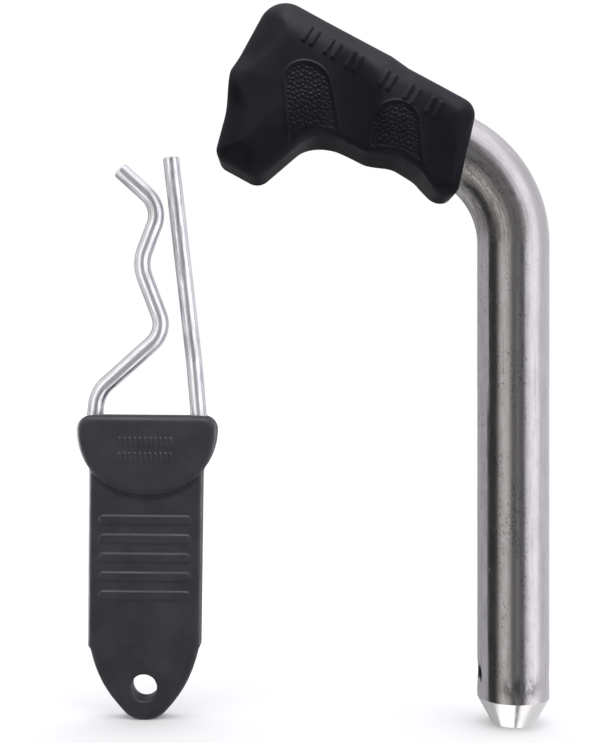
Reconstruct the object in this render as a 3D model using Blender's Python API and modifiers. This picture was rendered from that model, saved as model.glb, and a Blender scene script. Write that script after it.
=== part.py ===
"""Hitch pin with a moulded two-finger grip, and the hairpin clip that locks it.

The pin is one bent steel rod with a chamfered tip and a cross-hole for the clip. Its upper end
is buried in a rubber grip. The clip is one spring wire, bent like a hairpin, whose bow is
moulded into a rubber pull tab. It stands beside the pin, with its legs up.

Lengths are in metres. The origin is the centre of the pin's flat tip face, +Z points up along
the shank, the grip and the clip lie towards -X, and +Y points to the back.
"""
import math

import bmesh
import bpy
from mathutils import Matrix, Vector

MM = 0.001

# Driving dimensions of the pin.
PIN_RADIUS = 15.875 * MM / 2
TIP_FACE_RADIUS = 4.63 * MM
TIP_CHAMFER_LENGTH = 5.9 * MM
CROSS_HOLE_HEIGHT = 11.1 * MM
CROSS_HOLE_RADIUS = 4.8 * MM / 2
COUNTERSINK_RADIUS = 3.2 * MM
STRAIGHT_LENGTH = 106.9 * MM
BEND_RADIUS = 23.6 * MM
BEND_ANGLE = math.radians(60)
HANDLE_LENGTH = 45.0 * MM
HANDLE_END_CHAMFER = 1.5 * MM
GROOVE_PLACES = (18.0 * MM, 34.0 * MM)
GROOVE_WIDTH = 4.0 * MM
GROOVE_DEPTH = 1.0 * MM

# Driving dimensions of the grip. Its outline lies in the bend's plane, with u along the
# handle from the end of the bend and v square to it, upwards. Each corner has its radius.
GRIP_THICKNESS = 25.0 * MM
GRIP_EDGE_ROUND = 2.4 * MM
GRIP_TOP_HEIGHT = 9.7 * MM
GRIP_TOP_ROUND = 7.0 * MM
GRIP_CORNERS_MM = (
    (2.1, 9.8, 2.8),
    (52.9, 9.1, 6.5),
    (52.6, -11.2, 4.5),
    (48.9, -19.5, 20.0),
    (46.35, -29.1, 2.9),
    (35.5, -28.85, 3.6),
    (29.8, -12.7, 9.0),
    (17.5, -11.95, 6.0),
    (11.5, -9.4, 7.0),
    (5.6, -9.55, 7.0),
    (-0.1, -11.95, 3.7),
    (-4.1, -10.3, 2.8),
)
GRIP_SECTION_REACH = 40.0 * MM
SOCKET_START_ANGLE = math.radians(42)
VALLEY_HANDLE_PLACES = (33.0 * MM, 12.5 * MM)
VALLEY_RADIUS = 15.0 * MM
VALLEY_LEAN = math.radians(8)
VALLEY_LENGTH = 36.0 * MM

# Driving dimensions of the clip, in its own frame: x across from the tab's centre line, z up.
CLIP_X = -82.6 * MM
CLIP_Y = 4.5 * MM
WIRE_RADIUS = 3.66 * MM / 2
BOW_HEIGHT = 65.1 * MM
BOW_CENTRE_X = 0.12 * MM
BOW_RADIUS = 12.08 * MM
STRAIGHT_LEG_MM = ((12.2, 65.1, 0), (10.94, 80.3, 120), (5.62, 126.95, 0))
SPRING_LEG_MM = (
    (-11.96, 65.1, 0),
    (-11.06, 73.65, 7.5),
    (4.34, 87.45, 5.9),
    (-1.48, 102.87, 8.6),
    (3.39, 115.71, 6.4),
    (-5.98, 124.17, 0),
)
SPRING_PIVOT_HEIGHT = 67.0 * MM
SPRING_LEG_CUT = 0.8 * MM
WIRE_END_CHAMFER = 0.35 * MM

# Driving dimensions of the pull tab, half outlines in the tab's own frame. The moulded tab
# sits a little out of line with the wire.
TAB_OFFSET = -0.3 * MM
TAB_LEAN = math.radians(0.5)
TAB_THICKNESS = 6.2 * MM
TAB_EDGE_ROUND = 0.8 * MM
TAB_HALF_CORNERS_MM = (
    (0.0, -3.6, 6.3),
    (10.0, 8.3, 26.0),
    (12.5, 16.2, 3.0),
    (12.8, 61.0, 1.0),
)
HEAD_THICKNESS = 9.0 * MM
HEAD_EDGE_ROUND = 1.6 * MM
HEAD_HALF_WIDTH = 15.65 * MM
HEAD_DEPTH = 14.6 * MM
HEAD_CENTRE_HEIGHT = 65.0 * MM
HEAD_TOP_HEIGHT = 68.5 * MM
HEAD_CORNER_RADIUS = 3.2 * MM
LANYARD_HOLE_HEIGHT = 7.3 * MM
LANYARD_HOLE_RADIUS = 5.9 * MM / 2

# Clearance between touching solids, and how finely round shapes are divided.
GAP = 0.3 * MM
SPRING_LEG_PLAY = 0.65 * MM
WELD_DISTANCE = 0.001 * MM
CUT_MARGIN = 2.0 * MM
ROD_SIDES = 32
WIRE_SIDES = 12
ROUND_SIDES = 48
BEND_STEP = math.radians(6)
BOW_STEP = math.radians(9)
CORNER_STEP = math.radians(15)

# Faces that meet at less than these angles are merged, shaded smooth, or not rounded.
FLAT_ANGLE = math.radians(0.5)
SMOOTH_ANGLE = math.radians(35)
RIM_ANGLE = math.radians(60)


# ---------------------------------------------------------------- outlines and paths

def rounded_corner(before, corner, after, radius, step=BEND_STEP):
    """The points of the arc that rounds one corner of an outline or a path."""
    to_before = (before - corner).normalized()
    to_after = (after - corner).normalized()
    half_angle = to_before.angle(to_after) / 2
    centre = corner + (to_before + to_after).normalized() * radius / math.sin(half_angle)
    start = corner + to_before * radius / math.tan(half_angle) - centre
    end = corner + to_after * radius / math.tan(half_angle) - centre
    turn = -start.angle_signed(end)
    count = max(1, math.ceil(abs(turn) / step))
    return [centre + Matrix.Rotation(turn * i / count, 2) @ start for i in range(count + 1)]


def rounded_points(corners):
    """The points through corners given as (x, z, radius) in mm, the ends of a path with 0."""
    places = [Vector((x, z)) * MM for x, z, _ in corners]
    points = []
    for i, (_, _, radius) in enumerate(corners):
        if radius == 0:
            points.append(places[i])
            continue
        after = places[(i + 1) % len(places)]
        points += rounded_corner(places[i - 1], places[i], after, radius * MM)
    return points


def arc_points(centre, radius, start, end, step=BEND_STEP):
    """Points on an arc, with its angles counted from +x towards +z."""
    count = max(1, math.ceil(abs(end - start) / step))
    angles = [start + (end - start) * i / count for i in range(count + 1)]
    return [centre + radius * Vector((math.cos(a), math.sin(a))) for a in angles]


def mirrored(half):
    """A half outline at x >= 0, closed by its mirror image at x <= 0."""
    return half + [Vector((-p.x, p.y)) for p in reversed(half) if p.x > WELD_DISTANCE]


# ---------------------------------------------------------------- objects

def clear_scene():
    for obj in list(bpy.data.objects):
        bpy.data.objects.remove(obj, do_unlink=True)


def new_collection(name):
    collection = bpy.data.collections.new(name)
    bpy.context.scene.collection.children.link(collection)
    return collection


def make_material(name, colour, roughness, metallic):
    material = bpy.data.materials.new(name)
    material.use_nodes = True
    shader = material.node_tree.nodes["Principled BSDF"]
    shader.inputs["Base Color"].default_value = (*colour, 1.0)
    shader.inputs["Roughness"].default_value = roughness
    shader.inputs["Metallic"].default_value = metallic
    material.diffuse_color = (*colour, 1.0)
    return material


def make_empty(name, place, parent=None):
    empty = bpy.data.objects.new(name, None)
    empty.empty_display_size = 10 * MM
    empty.location = place
    empty.parent = parent
    PARTS.objects.link(empty)
    return empty


def curve_to_object(name, curve, collection):
    """Turns a curve into a closed mesh object, with its loose caps welded on."""
    temporary = bpy.data.objects.new(name + "_curve", curve)
    bpy.context.scene.collection.objects.link(temporary)
    depsgraph = bpy.context.evaluated_depsgraph_get()
    mesh = bpy.data.meshes.new_from_object(temporary.evaluated_get(depsgraph))
    mesh.name = name
    obj = bpy.data.objects.new(name, mesh)
    obj.matrix_world = temporary.matrix_world.copy()
    bpy.data.objects.remove(temporary)
    bpy.data.curves.remove(curve)
    collection.objects.link(obj)
    form = bmesh.new()
    form.from_mesh(mesh)
    bmesh.ops.remove_doubles(form, verts=form.verts, dist=WELD_DISTANCE)
    bmesh.ops.recalc_face_normals(form, faces=form.faces)
    form.to_mesh(mesh)
    form.free()
    return obj


def round_bar(name, stations, sides, collection):
    """A round bar along stations, each one a point (x, z) and the bar's radius there."""
    curve = bpy.data.curves.new(name, "CURVE")
    curve.dimensions = "3D"
    curve.twist_mode = "MINIMUM"
    curve.bevel_depth = 1.0 * MM
    curve.bevel_resolution = (sides - 4) // 2
    curve.use_fill_caps = True
    spline = curve.splines.new("POLY")
    spline.points.add(len(stations) - 1)
    for point, (place, radius) in zip(spline.points, stations):
        point.co = (place.x, 0.0, place.y, 1.0)
        point.radius = radius / curve.bevel_depth
    obj = curve_to_object(name, curve, collection)
    obj.data.shade_smooth()
    obj.data.set_sharp_from_angle(angle=SMOOTH_ANGLE)
    return obj


def extrusion(name, outline, length, frame, collection):
    """A flat outline in a frame's own XY plane, extruded half its length to either side."""
    curve = bpy.data.curves.new(name, "CURVE")
    curve.dimensions = "2D"
    curve.fill_mode = "BOTH"
    curve.extrude = length / 2
    spline = curve.splines.new("POLY")
    spline.points.add(len(outline) - 1)
    for point, place in zip(spline.points, outline):
        point.co = (place.x, place.y, 0.0, 1.0)
    spline.use_cyclic_u = True
    obj = curve_to_object(name, curve, collection)
    obj.data.transform(frame)
    form = bmesh.new()
    form.from_mesh(obj.data)
    bmesh.ops.dissolve_limit(form, angle_limit=FLAT_ANGLE, verts=form.verts, edges=form.edges)
    bmesh.ops.recalc_face_normals(form, faces=form.faces)
    form.to_mesh(obj.data)
    form.free()
    return obj


def thick_plate(name, outline, thickness, collection):
    """A plate with the given outline in the XZ plane, half its thickness to either side."""
    upright = Matrix.Rotation(math.radians(90), 4, "X")
    return extrusion(name, outline, thickness, upright, collection)


def cylinder_cutter(name, place, direction, radius, length):
    """A cylinder whose axis starts at place and runs along direction."""
    form = bmesh.new()
    bmesh.ops.create_cone(form, cap_ends=True, segments=ROUND_SIDES, radius1=radius,
                          radius2=radius, depth=length)
    bmesh.ops.translate(form, verts=form.verts, vec=(0, 0, length / 2))
    turn = Vector((0, 0, 1)).rotation_difference(direction).to_matrix()
    bmesh.ops.rotate(form, verts=form.verts, matrix=turn, cent=(0, 0, 0))
    mesh = bpy.data.meshes.new(name)
    form.to_mesh(mesh)
    form.free()
    cutter = bpy.data.objects.new(name, mesh)
    cutter.location = place
    CUTTERS.objects.link(cutter)
    return cutter


def hide_cutter(cutter):
    cutter.hide_render = True
    cutter.display_type = "WIRE"


def combine(target, tool, operation):
    """Adds a Boolean that cuts the tool from the target, or joins it on."""
    hide_cutter(tool)
    modifier = target.modifiers.new(tool.name, "BOOLEAN")
    modifier.operation = operation
    modifier.object = tool
    modifier.solver = "EXACT"


def round_edges(obj, width, segments):
    """Rounds the plate's rims, and leaves its smooth sides as they are."""
    modifier = obj.modifiers.new("rounded_rims", "BEVEL")
    modifier.width = width
    modifier.segments = segments
    modifier.limit_method = "ANGLE"
    modifier.angle_limit = RIM_ANGLE
    modifier.use_clamp_overlap = False


def finish_part(obj, parent, material):
    """Gives a part its material, its parent and its smooth shading."""
    obj.data.materials.clear()
    obj.data.materials.append(material)
    obj.parent = parent
    obj.data.shade_smooth()
    obj.data.set_sharp_from_angle(angle=SMOOTH_ANGLE)


# ---------------------------------------------------------------- the pin

def handle_point(u, v):
    """A point of the bend's plane, from u along the handle and v square to it."""
    bend_centre = Vector((-BEND_RADIUS, STRAIGHT_LENGTH))
    outward = Vector((math.cos(BEND_ANGLE), math.sin(BEND_ANGLE)))
    along = Vector((-outward.y, outward.x))
    return bend_centre + outward * (BEND_RADIUS + v) + along * u


def bend_stations(radius, start_angle):
    """The bar's stations round the bend, from an angle of it up to the handle."""
    centre = Vector((-BEND_RADIUS, STRAIGHT_LENGTH))
    return [(p, radius) for p in arc_points(centre, BEND_RADIUS, start_angle, BEND_ANGLE)]


def handle_stations(radius):
    """The buried handle's stations: two retaining grooves and a chamfered end."""
    stations = []
    for place in GROOVE_PLACES:
        half = GROOVE_WIDTH / 2
        stations.append((handle_point(place - half, 0), radius))
        stations.append((handle_point(place - half + GROOVE_DEPTH, 0), radius - GROOVE_DEPTH))
        stations.append((handle_point(place + half - GROOVE_DEPTH, 0), radius - GROOVE_DEPTH))
        stations.append((handle_point(place + half, 0), radius))
    stations.append((handle_point(HANDLE_LENGTH - HANDLE_END_CHAMFER, 0), radius))
    stations.append((handle_point(HANDLE_LENGTH, 0), radius - HANDLE_END_CHAMFER))
    return stations


def cross_hole_stations():
    """The cross-hole runs along X and opens into a shallow countersink at each side."""
    reach = PIN_RADIUS + CUT_MARGIN
    sink_depth = COUNTERSINK_RADIUS - CROSS_HOLE_RADIUS
    return [
        (Vector((-reach, CROSS_HOLE_HEIGHT)), COUNTERSINK_RADIUS + CUT_MARGIN),
        (Vector((sink_depth - PIN_RADIUS, CROSS_HOLE_HEIGHT)), CROSS_HOLE_RADIUS),
        (Vector((PIN_RADIUS - sink_depth, CROSS_HOLE_HEIGHT)), CROSS_HOLE_RADIUS),
        (Vector((reach, CROSS_HOLE_HEIGHT)), COUNTERSINK_RADIUS + CUT_MARGIN),
    ]


def build_pin_shank(parent):
    stations = [
        (Vector((0, 0)), TIP_FACE_RADIUS),
        (Vector((0, TIP_CHAMFER_LENGTH)), PIN_RADIUS),
    ]
    stations += bend_stations(PIN_RADIUS, 0.0)
    stations += handle_stations(PIN_RADIUS)
    shank = round_bar("pin_shank", stations, ROD_SIDES, PARTS)

    hole = round_bar("cross_hole", cross_hole_stations(), ROD_SIDES, CUTTERS)
    combine(shank, hole, "DIFFERENCE")
    finish_part(shank, parent, STEEL)


def grip_section():
    """A bar along the handle whose section gives the grip its widely rounded top edges."""
    half_width = GRIP_THICKNESS / 2 + GAP
    reach = GRIP_SECTION_REACH
    top = Vector((0, GRIP_TOP_HEIGHT))
    shoulder = Vector((half_width, GRIP_TOP_HEIGHT))
    half = [Vector((half_width, -reach))]
    half += rounded_corner(half[0], shoulder, top, GRIP_TOP_ROUND, CORNER_STEP)
    middle = handle_point(reach / 2, 0)
    outward = Vector((math.cos(BEND_ANGLE), 0, math.sin(BEND_ANGLE)))
    frame = Matrix.Translation((middle.x, 0, middle.y)) @ Matrix((
        (0, outward.x, outward.z, 0),
        (1, 0, 0, 0),
        (0, outward.z, -outward.x, 0),
        (0, 0, 0, 1),
    ))
    return extrusion("grip_section", mirrored(half), 2 * reach, frame, CUTTERS)


def build_pin_grip(parent):
    outline = [handle_point(p.x, p.y) for p in rounded_points(GRIP_CORNERS_MM)]
    grip = thick_plate("pin_grip", outline, GRIP_THICKNESS, PARTS)
    round_edges(grip, GRIP_EDGE_ROUND, 3)
    combine(grip, grip_section(), "INTERSECT")

    for number, place in enumerate(VALLEY_HANDLE_PLACES, start=1):
        top = handle_point(place, PIN_RADIUS)
        for side, name in ((-1, "front"), (1, "back")):
            distance = GRIP_THICKNESS / 2 + VALLEY_RADIUS
            direction = Vector((0, -side * math.sin(VALLEY_LEAN), -math.cos(VALLEY_LEAN)))
            start = Vector((top.x, side * distance, top.y)) - direction * CUT_MARGIN
            valley = cylinder_cutter(f"finger_valley_{number}_{name}", start, direction,
                                     VALLEY_RADIUS, VALLEY_LENGTH)
            combine(grip, valley, "DIFFERENCE")

    stations = bend_stations(PIN_RADIUS + GAP, SOCKET_START_ANGLE)
    stations += handle_stations(PIN_RADIUS + GAP)
    end_place, end_radius = stations[-1]
    along = (end_place - stations[-2][0]).normalized()
    stations[-1] = (end_place + along * GAP, end_radius)
    socket = round_bar("handle_socket", stations, ROD_SIDES, CUTTERS)
    combine(grip, socket, "DIFFERENCE")
    finish_part(grip, parent, GRIP_RUBBER)


# ---------------------------------------------------------------- the clip

def bow_points():
    """The half circle that joins the legs, from the straight leg round to the spring leg."""
    centre = Vector((BOW_CENTRE_X, BOW_HEIGHT))
    return arc_points(centre, BOW_RADIUS, 0.0, -math.pi, BOW_STEP)


def chamfered_end(points, radius, chamfer):
    """The stations of a wire whose last end has a small chamfer."""
    tip = points[-1]
    back = (points[-2] - tip).normalized() * chamfer
    stations = [(p, radius) for p in points[:-1]]
    stations.append((tip + back, radius))
    stations.append((tip, radius - chamfer))
    return stations


def build_clip_wire(parent):
    """The straight leg and the bow, which stay with the tab."""
    points = bow_points()[::-1] + rounded_points(STRAIGHT_LEG_MM)[1:]
    stations = chamfered_end(points, WIRE_RADIUS, WIRE_END_CHAMFER)
    wire = round_bar("clip_wire", stations, WIRE_SIDES, PARTS)
    finish_part(wire, parent, ZINC)


def spring_leg_route():
    """The sprung leg's centre line, which starts just above the end of the bow."""
    points = rounded_points(SPRING_LEG_MM)
    along = (points[1] - points[0]).normalized()
    points[0] = points[0] + along * SPRING_LEG_CUT
    return points


def spring_pivot():
    """Where the sprung leg's centre line passes through the mouth of the head."""
    foot, first_bend = (Vector(c[:2]) * MM for c in SPRING_LEG_MM[:2])
    share = (SPRING_PIVOT_HEIGHT - foot.y) / (first_bend.y - foot.y)
    return foot.lerp(first_bend, share)


def build_spring_leg(parent):
    """The bent leg that springs open over the pin, turned about the mouth of the head."""
    pivot = spring_pivot()
    points = [p - pivot for p in spring_leg_route()]
    stations = chamfered_end(points, WIRE_RADIUS, WIRE_END_CHAMFER)
    leg = round_bar("clip_spring_leg", stations, WIRE_SIDES, PARTS)
    finish_part(leg, parent, ZINC)


def head_outline():
    """The head's D shape: a half circle below a flat top with rounded shoulders."""
    centre = Vector((0, HEAD_CENTRE_HEIGHT))
    half = [Vector((p.x, HEAD_CENTRE_HEIGHT + p.y * HEAD_DEPTH / HEAD_HALF_WIDTH))
            for p in arc_points(Vector((0, 0)), HEAD_HALF_WIDTH, -math.pi / 2, 0.0)]
    shoulder = Vector((HEAD_HALF_WIDTH, HEAD_TOP_HEIGHT))
    top = Vector((0, HEAD_TOP_HEIGHT))
    half += rounded_corner(centre + Vector((HEAD_HALF_WIDTH, 0)), shoulder, top,
                           HEAD_CORNER_RADIUS, CORNER_STEP)
    return mirrored(half)


def tab_outline():
    """The strap's outline: nearly straight sides, then a pointed round end."""
    left_half = [(-x, z, r) for x, z, r in reversed(TAB_HALF_CORNERS_MM[1:])]
    corners = list(TAB_HALF_CORNERS_MM) + left_half
    return rounded_points(corners)


def build_clip_tab(clip, parent):
    tab = thick_plate("clip_tab", tab_outline(), TAB_THICKNESS, PARTS)
    round_edges(tab, TAB_EDGE_ROUND, 2)
    head = thick_plate("tab_head", head_outline(), HEAD_THICKNESS, CUTTERS)
    round_edges(head, HEAD_EDGE_ROUND, 3)
    head.parent = parent
    combine(tab, head, "UNION")

    reach = HEAD_THICKNESS / 2 + CUT_MARGIN
    hole = cylinder_cutter("lanyard_hole", (0, -reach, LANYARD_HOLE_HEIGHT), Vector((0, 1, 0)),
                           LANYARD_HOLE_RADIUS, 2 * reach)
    hole.parent = parent
    combine(tab, hole, "DIFFERENCE")

    channel_points = bow_points()[::-1] + rounded_points(STRAIGHT_LEG_MM)[1:]
    channel = round_bar("wire_channel", [(p, WIRE_RADIUS + GAP) for p in channel_points],
                        WIRE_SIDES, CUTTERS)
    channel.parent = clip
    combine(tab, channel, "DIFFERENCE")

    foot, first_bend = (Vector(c[:2]) * MM for c in SPRING_LEG_MM[:2])
    along = (first_bend - foot).normalized()
    mouth = [(foot - along * GAP, WIRE_RADIUS + SPRING_LEG_PLAY),
             (first_bend, WIRE_RADIUS + SPRING_LEG_PLAY)]
    pocket = round_bar("spring_leg_pocket", mouth, WIRE_SIDES, CUTTERS)
    pocket.parent = clip
    combine(tab, pocket, "DIFFERENCE")
    finish_part(tab, parent, TAB_RUBBER)


clear_scene()
PARTS = new_collection("hitch_pin_lock")
CUTTERS = new_collection("hitch_pin_lock_cutters")

STEEL = make_material("bright_steel", (0.62, 0.61, 0.60), 0.28, 1.0)
ZINC = make_material("zinc_plated_wire", (0.75, 0.76, 0.78), 0.3, 1.0)
GRIP_RUBBER = make_material("grip_rubber", (0.022, 0.021, 0.024), 0.55, 0.0)
TAB_RUBBER = make_material("tab_rubber", (0.032, 0.033, 0.038), 0.6, 0.0)

pin_frame = make_empty("pin", (0, 0, 0))
clip_frame = make_empty("clip", (CLIP_X, CLIP_Y, 0))
tab_frame = make_empty("tab", (TAB_OFFSET, 0, 0), clip_frame)
tab_frame.rotation_euler = (0, TAB_LEAN, 0)
pivot_place = spring_pivot()
spring_leg_frame = make_empty("spring_leg_pivot", (pivot_place.x, 0, pivot_place.y), clip_frame)

build_pin_shank(pin_frame)
build_pin_grip(pin_frame)
build_clip_wire(clip_frame)
build_spring_leg(spring_leg_frame)
build_clip_tab(clip_frame, tab_frame)
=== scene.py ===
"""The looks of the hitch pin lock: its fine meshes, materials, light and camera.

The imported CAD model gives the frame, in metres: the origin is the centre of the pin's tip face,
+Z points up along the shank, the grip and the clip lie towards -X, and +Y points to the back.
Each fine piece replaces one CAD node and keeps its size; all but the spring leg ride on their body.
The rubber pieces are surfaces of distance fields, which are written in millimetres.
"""
import math

import bmesh
import bpy
import numpy as np
from mathutils import Matrix, Vector


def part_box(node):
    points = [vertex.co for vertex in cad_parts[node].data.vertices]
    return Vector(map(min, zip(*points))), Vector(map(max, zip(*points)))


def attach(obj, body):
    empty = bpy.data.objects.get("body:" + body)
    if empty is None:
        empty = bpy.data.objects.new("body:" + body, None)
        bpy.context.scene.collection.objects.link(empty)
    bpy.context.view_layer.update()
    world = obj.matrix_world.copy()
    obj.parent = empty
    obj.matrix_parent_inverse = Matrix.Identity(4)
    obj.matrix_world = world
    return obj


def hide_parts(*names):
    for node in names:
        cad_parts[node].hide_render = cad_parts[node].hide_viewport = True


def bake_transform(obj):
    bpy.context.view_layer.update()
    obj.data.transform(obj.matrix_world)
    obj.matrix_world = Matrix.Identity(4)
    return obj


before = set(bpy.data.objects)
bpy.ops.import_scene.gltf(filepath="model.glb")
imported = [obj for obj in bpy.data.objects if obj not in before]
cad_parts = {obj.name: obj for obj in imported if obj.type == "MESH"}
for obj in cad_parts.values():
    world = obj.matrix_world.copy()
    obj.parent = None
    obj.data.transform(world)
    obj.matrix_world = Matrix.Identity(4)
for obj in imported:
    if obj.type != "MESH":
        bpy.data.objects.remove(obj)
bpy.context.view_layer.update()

MM = 0.001

# The pin's sizes, in millimetres, as in the CAD model.
PIN_RADIUS = 15.875 / 2
TIP_FACE_RADIUS = 4.63
TIP_CHAMFER_LENGTH = 5.9
CROSS_HOLE_HEIGHT = 11.1
CROSS_HOLE_RADIUS = 2.4
COUNTERSINK_RADIUS = 3.2
STRAIGHT_LENGTH = 106.9
BEND_RADIUS = 23.6
BEND_ANGLE = math.radians(60)
HANDLE_LENGTH = 45.0
TIP_FACE_ROUND = 0.22
TIP_CHAMFER_ROUND = 0.35
TIP_ROUND_STEP = math.radians(10)
TIP_END = TIP_CHAMFER_LENGTH + 1.0
HANDLE_END_STEP = 1.0
PIN_SIDES = 96
PIN_STEP = 0.8
PIN_BEND_STEPS = 60
PIN_SHARP_ANGLE = math.radians(28)
CUTTER_SIDES = 64
CUTTER_MARGIN = 2.0

# The grip. Its outline has u along the handle and v square to it, with a radius at each corner.
# A span is a pair of places between which one value fades into another.
GRIP_HALF_THICKNESS = 12.5
GRIP_CORNERS = (
    (2.1, 8.95, 4.0),
    (19.0, 8.75, 3.0),
    (23.5, 9.3, 3.0),
    (53.1, 8.95, 6.2),
    (52.6, -11.2, 4.5),
    (48.9, -19.5, 20.0),
    (46.35, -29.1, 2.9),
    (35.5, -28.85, 3.6),
    (29.8, -12.7, 9.0),
    (17.5, -11.95, 6.0),
    (11.5, -9.4, 7.0),
    (5.6, -9.55, 7.0),
    (-0.1, -11.95, 3.7),
    (-4.1, -10.3, 2.7),
)
GRIP_TOP_ROUNDS = (4.0, 7.6)
GRIP_TOP_ROUNDS_SPAN = (0.0, 50.0)
GRIP_TOP_SPAN = (-6.0, 4.0)
GRIP_END_ROUND_REACH = 10.0
GRIP_END_SPAN = (40.0, 51.0)
GRIP_ARCH_ROUND = 2.4
GRIP_LOBE_ROUND = 5.5
GRIP_LOBE_SPAN = (-12.5, -18.0)
GRIP_INNER_END_SPAN = (5.0, 0.0)
GRIP_CROWN = 1.3
GRIP_CROWN_REACH = 9.0
VALLEY_HANDLE_PLACES = (33.0, 12.5)
VALLEY_RADIUS = 9.0
VALLEY_LEAN = math.radians(9)
VALLEY_BLEND = 1.2

# The finger pads: the top of each arch, its half width, and how it leans and widens downwards.
PADS = (
    {"top": (-46.8, 144.4), "half_width": 4.8, "lean": 0.14, "flare": 0.05},
    {"top": (-27.2, 136.0), "half_width": 4.8, "lean": -0.01, "flare": 0.12},
)
PAD_LOWER_MARGIN = 1.4
PAD_RECESS = 0.30
PAD_RIM_WIDTH = 0.32
PAD_RIM_REACH = 0.448
PAD_RIM_HEIGHT = 0.20
PAD_EDGE_SPAN = (0.15, -0.35)
PAD_LOWER_SPAN = (0.4, -0.4)
PEBBLE_PITCH = 1.05
PEBBLE_HEIGHT = 0.19
PEBBLE_WAVE_SPAN = (-0.6, 2.6)
# The pebbles wander off even rows by waves: the size, and the turn per millimetre of x and of z.
PEBBLE_WAVES_X = ((0.22, 0.0, 2.1), (0.12, 3.3, 1.3))
PEBBLE_WAVES_Z = ((0.22, 1.7, 0.0), (0.12, -1.9, 2.9))

# The raised marks along the grip's upper edge, pairs of plain bars.
MARK_PLACES = (40.5, 35.1, 29.8, 21.5, 15.5, 10.1)
MARK_HEIGHT = 3.0
MARK_HALF_LENGTH = 1.6
MARK_SPREAD = 0.95
MARK_EDGE_SPAN = (0.625, 0.25)
MARK_RELIEF = 0.42

# The grip's relief fades in over a span of distances from the middle plane, and the net is
# refined within a margin round the pads and the marks.
GRIP_FACE_SPAN = (4.0, 6.0)
PAD_FINE_MARGIN = 1.4
MARK_FINE_MARGIN = 1.1
GRIP_CELL = 0.48
GRIP_NET_MARGINS = (1.9, 2.0)

# The clip's wire, in the clip's own frame: x across from the tab's centre line, z up.
CLIP_X = -82.6
CLIP_Y = 4.5
WIRE_RADIUS = 3.66 / 2
WIRE_SIDES = 40
WIRE_STEP = 0.6
WIRE_SHARP_ANGLE = math.radians(40)
WIRE_END_ROUND = 0.35
WIRE_END_RINGS = 5
WIRE_END_GAP = 0.2
BOW_HEIGHT = 65.1
BOW_CENTRE_X = 0.12
BOW_RADIUS = 12.08
BOW_STEP_DEGREES = 4
STRAIGHT_LEG = ((12.2, 65.1, 0), (10.94, 80.3, 120), (5.62, 126.95, 0))
SPRING_LEG = (
    (-11.96, 65.1, 0),
    (-11.06, 73.65, 7.5),
    (4.34, 87.45, 5.9),
    (-1.48, 102.87, 8.6),
    (3.39, 115.71, 6.4),
    (-5.98, 124.17, 0),
)

# The pull tab, in its own frame, which sits a little out of line with the wire.
TAB_OFFSET = -0.3
TAB_LEAN = math.radians(0.5)
TAB_HALF_THICKNESS = 3.1
TAB_EDGE_ROUND = 1.1
TAB_CORNERS = (
    (0.25, -3.6, 6.4),
    (10.4, 8.2, 26.0),
    (12.15, 15.9, 2.0),
    (12.6, 16.6, 0.25),
    (12.8, 61.0, 1.0),
    (-12.8, 61.0, 1.0),
    (-12.75, 16.6, 0.25),
    (-12.2, 15.9, 2.0),
    (-10.1, 8.3, 26.0),
)
HEAD_HALF_THICKNESS = 4.5
HEAD_EDGE_ROUND = 1.3
HEAD_CREASE = 0.5
HEAD_CORNERS = (
    (15.85, 68.5, 3.2),
    (-15.45, 68.5, 3.2),
    (-15.45, 50.6, 14.6),
    (15.85, 50.6, 14.6),
)
LANYARD_HOLE_HEIGHT = 7.3
LANYARD_HOLE_RADIUS = 2.95
LANYARD_HOLE_EDGE = 0.35

# The tab's relief: grip ribs on the strap, and two rows of small bars on the head.
RIB_HEIGHTS = tuple(45.0 - 4.25 * row for row in range(5))
RIB_HALF_LENGTH = 9.3
RIB_RELIEF = 0.26
RIB_EDGE_SPAN = (1.25, 0.75)
RIB_FINE_MARGIN = 1.8
BAR_ROW_HEIGHTS = (62.6, 59.2)
BAR_PLACES = tuple(1.15 * column for column in range(-5, 6))
BAR_HALF_LENGTH = 0.75
BAR_RELIEF = 0.19
BAR_EDGE_SPAN = (0.42, 0.16)
BAR_FINE_MARGIN = 0.8
TAB_FACE_SPAN = (1.5, 2.5)
TAB_CELL = 0.42
TAB_NET_LOW = (-16.53, -5.37, -4.43)
TAB_NET_HIGH = (16.9, 5.3, 69.5)

# How the net of a moulded piece settles on its surface.
SLOPE_STEP = 0.02
LEAST_SLOPE_SQUARED = 0.05
LONGEST_MOVE = 0.6
SETTLING_PASSES = 4
MOVES_PER_PASS = 2
LAST_MOVES = 4
FINE_CUTS = 2


# ---------------------------------------------------------------- small number helpers

def smoothstep(low, high, value):
    """Rises smoothly from 0 at low to 1 at high."""
    share = np.clip((value - low) / (high - low), 0.0, 1.0)
    return share * share * (3.0 - 2.0 * share)


def smooth_max(a, b, width):
    """The larger of two fields, with the crease between them rounded over the given width."""
    share = np.clip(0.5 + 0.5 * (a - b) / width, 0.0, 1.0)
    return b + (a - b) * share + width * share * (1.0 - share)


def smooth_min(a, b, width):
    """The smaller of two fields, with the crease between them rounded in the same way."""
    return -smooth_max(-a, -b, width)


def rounded_slab(edge, face, radius):
    """Where an outline's inside meets a slab's, with the rim between them rounded."""
    past_edge = edge + radius
    past_face = face + radius
    outside = np.hypot(np.maximum(past_edge, 0.0), np.maximum(past_face, 0.0))
    return outside + np.minimum(np.maximum(past_edge, past_face), 0.0) - radius


# ---------------------------------------------------------------- outlines and routes

def corner_arc(before, corner, after, radius):
    """The centre of the arc that rounds a corner, and the places where it starts and ends."""
    to_before = (before - corner).normalized()
    to_after = (after - corner).normalized()
    half_angle = to_before.angle(to_after) / 2
    centre = corner + (to_before + to_after).normalized() * radius / math.sin(half_angle)
    reach = radius / math.tan(half_angle)
    return centre, corner + to_before * reach, corner + to_after * reach


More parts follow.
